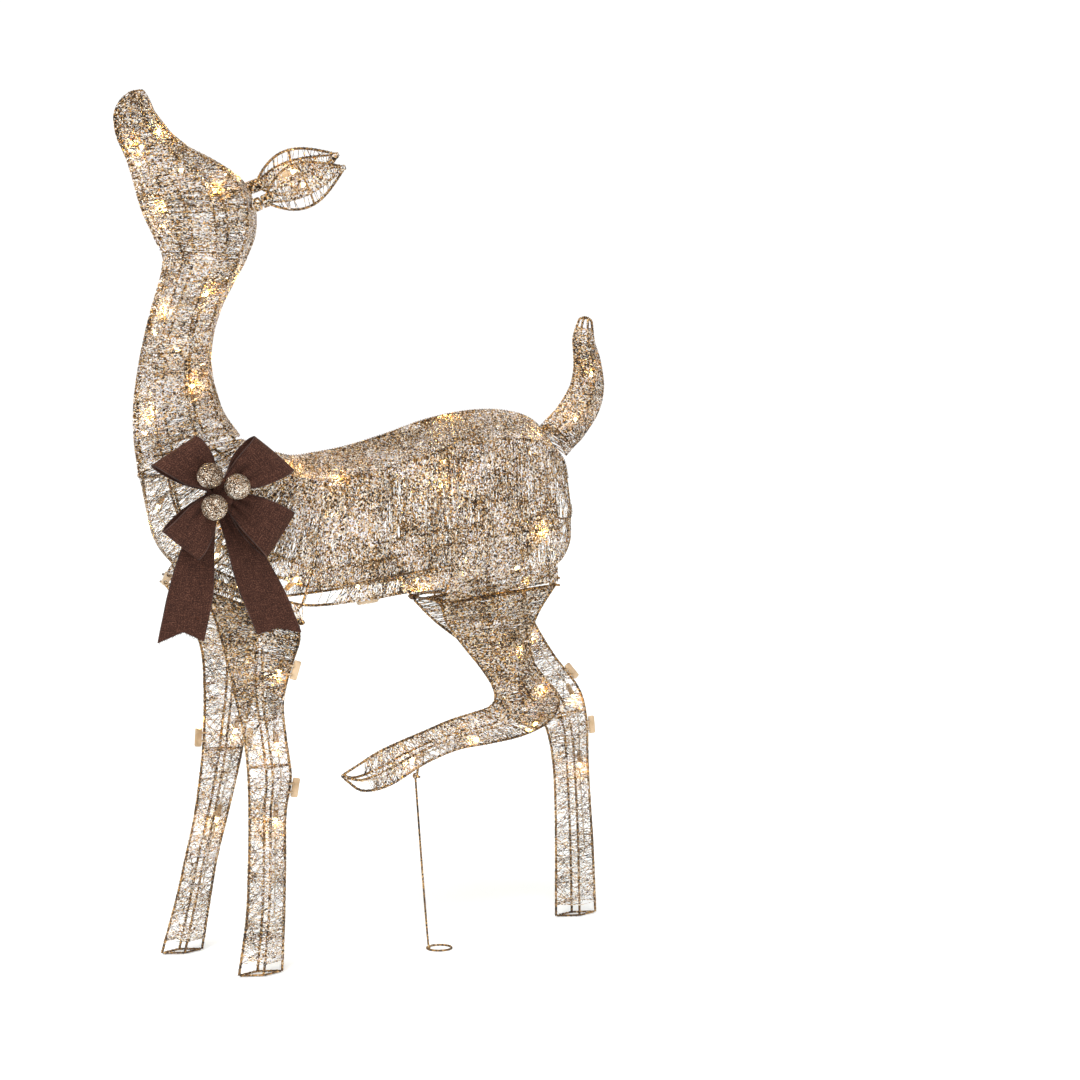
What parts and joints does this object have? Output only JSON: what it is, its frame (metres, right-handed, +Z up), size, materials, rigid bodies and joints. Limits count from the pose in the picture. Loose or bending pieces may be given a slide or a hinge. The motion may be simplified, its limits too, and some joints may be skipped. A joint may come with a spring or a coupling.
{
  "type": "light up yard reindeer",
  "caption": "Standing doe yard decoration: wire frames wound with glitter thread, warm lights inside, a burlap bow with glitter balls, folding clip-on legs and a ground rod.",
  "frame": {"origin": "middle of the box around the doe, at the height of the ground it stands on", "axes": "+Z up, the doe looks along -X, its left side is -Y"},
  "size_m": [0.7786, 0.283, 1.2199],
  "materials": {
    "frame_wire": "satin",
    "glitter_thread": "satin",
    "light_string": "gloss",
    "clip_plastic": "satin",
    "burlap": "matte",
    "glitter_ball": "satin"
  },
  "bodies": {
    "torso": {"torso_frame": "frame_wire", "torso_thread": "glitter_thread", "torso_light_string": "light_string", "power_inlet": "clip_plastic", "bow_tie_wire": "frame_wire", "bow_upper_loops": "burlap", "bow_lower_loops": "burlap", "bow_left_tail": "burlap", "bow_right_tail": "burlap", "bow_knot": "burlap", "bow_ball_left": "glitter_ball", "bow_ball_right": "glitter_ball", "bow_ball_lower": "glitter_ball"},
    "neck_and_head": {"neck_head_frame": "frame_wire", "neck_thread": "glitter_thread", "head_thread": "glitter_thread", "neck_light_string": "light_string", "head_light_string": "light_string"},
    "left_ear": {"left_ear_frame": "frame_wire", "left_ear_thread": "glitter_thread", "left_ear_light": "light_string"},
    "right_ear": {"right_ear_frame": "frame_wire", "right_ear_thread": "glitter_thread", "right_ear_light": "light_string"},
    "left_front_leg": {"left_front_leg_frame": "frame_wire", "left_front_leg_thread": "glitter_thread", "left_front_leg_clip": "clip_plastic", "left_front_leg_light_string": "light_string"},
    "right_front_leg": {"right_front_leg_frame": "frame_wire", "right_front_leg_thread": "glitter_thread", "right_front_leg_clip": "clip_plastic", "right_front_leg_light_string": "light_string"},
    "left_hind_leg": {"left_hind_leg_frame": "frame_wire", "left_hind_leg_thread": "glitter_thread", "left_hind_leg_clip": "clip_plastic", "left_hind_leg_light_string": "light_string"},
    "right_hind_leg": {"right_hind_leg_frame": "frame_wire", "right_hind_leg_thread": "glitter_thread", "right_hind_leg_clip": "clip_plastic", "right_hind_leg_light_string": "light_string"},
    "support_rod": {"support_rod": "frame_wire"},
    "tail": {"tail_frame": "frame_wire", "tail_thread": "glitter_thread", "tail_light_string": "light_string"}
  },
  "joints": [
    {"name": "neck_lift", "type": "slide", "parent": "torso", "child": "neck_and_head", "axis": [-0.3396, 0, 0.9406], "range_m": [0, 0.06]},
    {"name": "left_ear_twist", "type": "hinge", "parent": "neck_and_head", "child": "left_ear", "pos_m": [-0.19583, 0.00786, 1.06583], "axis": [0.8849, -0.2248, 0.4079], "range_deg": [-40, 40]},
    {"name": "right_ear_twist", "type": "hinge", "parent": "neck_and_head", "child": "right_ear", "pos_m": [-0.2063, 0.06111, 1.08709], "axis": [0.9276, -0.0028, 0.3736], "range_deg": [-40, 40]},
    {"name": "left_front_leg_fold", "type": "hinge", "parent": "torso", "child": "left_front_leg", "pos_m": [-0.15489, -0.05337, 0.4885], "axis": [0, -1, 0], "range_deg": [0, 90]},
    {"name": "right_front_leg_fold", "type": "hinge", "parent": "torso", "child": "right_front_leg", "pos_m": [-0.15489, 0.12263, 0.4885], "axis": [0, -1, 0], "range_deg": [0, 90]},
    {"name": "left_hind_leg_fold", "type": "hinge", "parent": "torso", "child": "left_hind_leg", "pos_m": [0.07611, -0.01337, 0.5065], "axis": [0, 1, 0], "range_deg": [0, 45]},
    {"name": "right_hind_leg_fold", "type": "hinge", "parent": "torso", "child": "right_hind_leg", "pos_m": [0.07611, 0.08263, 0.5065], "axis": [0, 1, 0], "range_deg": [0, 95]},
    {"name": "support_rod_fold", "type": "hinge", "parent": "left_hind_leg", "child": "support_rod", "pos_m": [0.03911, -0.00837, 0.2535], "axis": [0, -1, 0], "range_deg": [0, 90]},
    {"name": "tail_swing", "type": "hinge", "parent": "torso", "child": "tail", "pos_m": [0.27211, 0.03463, 0.7585], "axis": [0, 1, 0], "range_deg": [-10, 10]}
  ]
}
